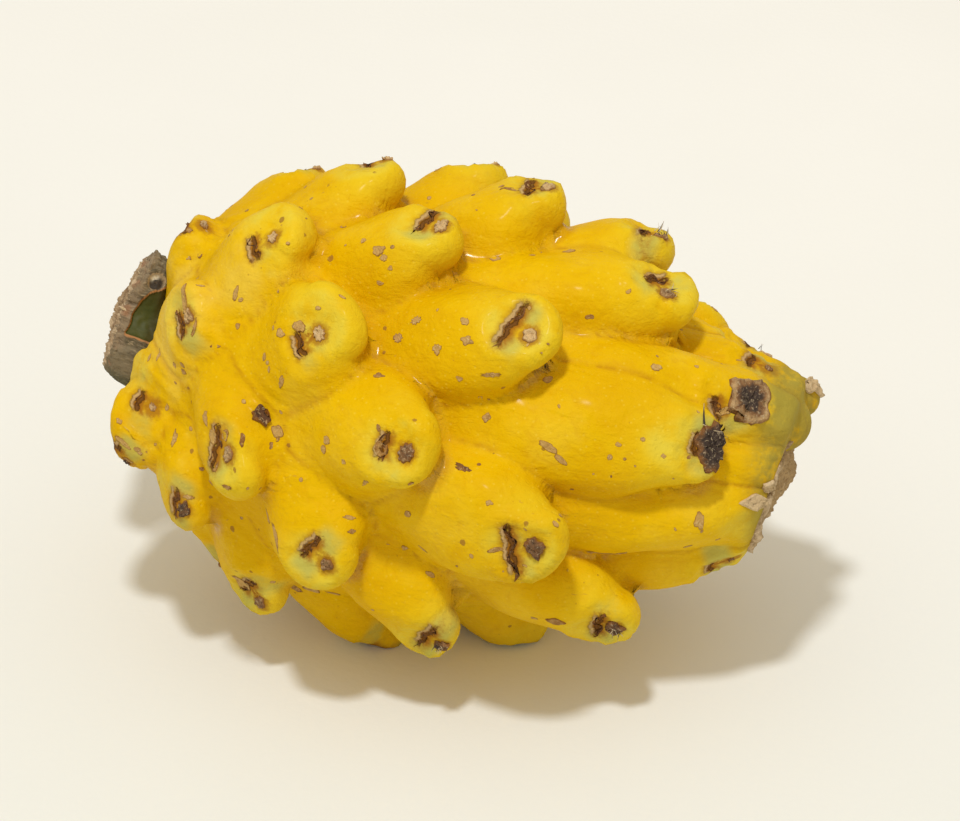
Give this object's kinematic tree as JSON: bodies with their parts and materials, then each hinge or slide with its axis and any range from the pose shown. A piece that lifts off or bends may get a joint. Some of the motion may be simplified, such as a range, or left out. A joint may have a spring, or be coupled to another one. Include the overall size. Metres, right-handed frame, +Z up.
{
  "type": "yellow dragon fruit",
  "caption": "Whole yellow dragon fruit lying on its side, with blunt tubercles over its skin, a cut stem stub at one end and dried flower remains at the other.",
  "frame": {"origin": "on the resting plane, under the centre of the bounding box", "axes": "+X along the fruit's length from the stem stub to the flower remains, +Z up from the resting plane, +Y away from the side the picture shows"},
  "size_m": [0.109, 0.0722, 0.0705],
  "materials": {
    "fruit_skin": "waxy natural fruit skin, half gloss, with corky specks",
    "stem_cork": "rough dry cork and green stem skin",
    "dried_flower": "matte, papery and fibrous"
  },
  "bodies": {
    "root": {"fruit": "fruit_skin", "stem_stub": "stem_cork", "flower_remnant": "dried_flower"}
  },
  "joints": []
}
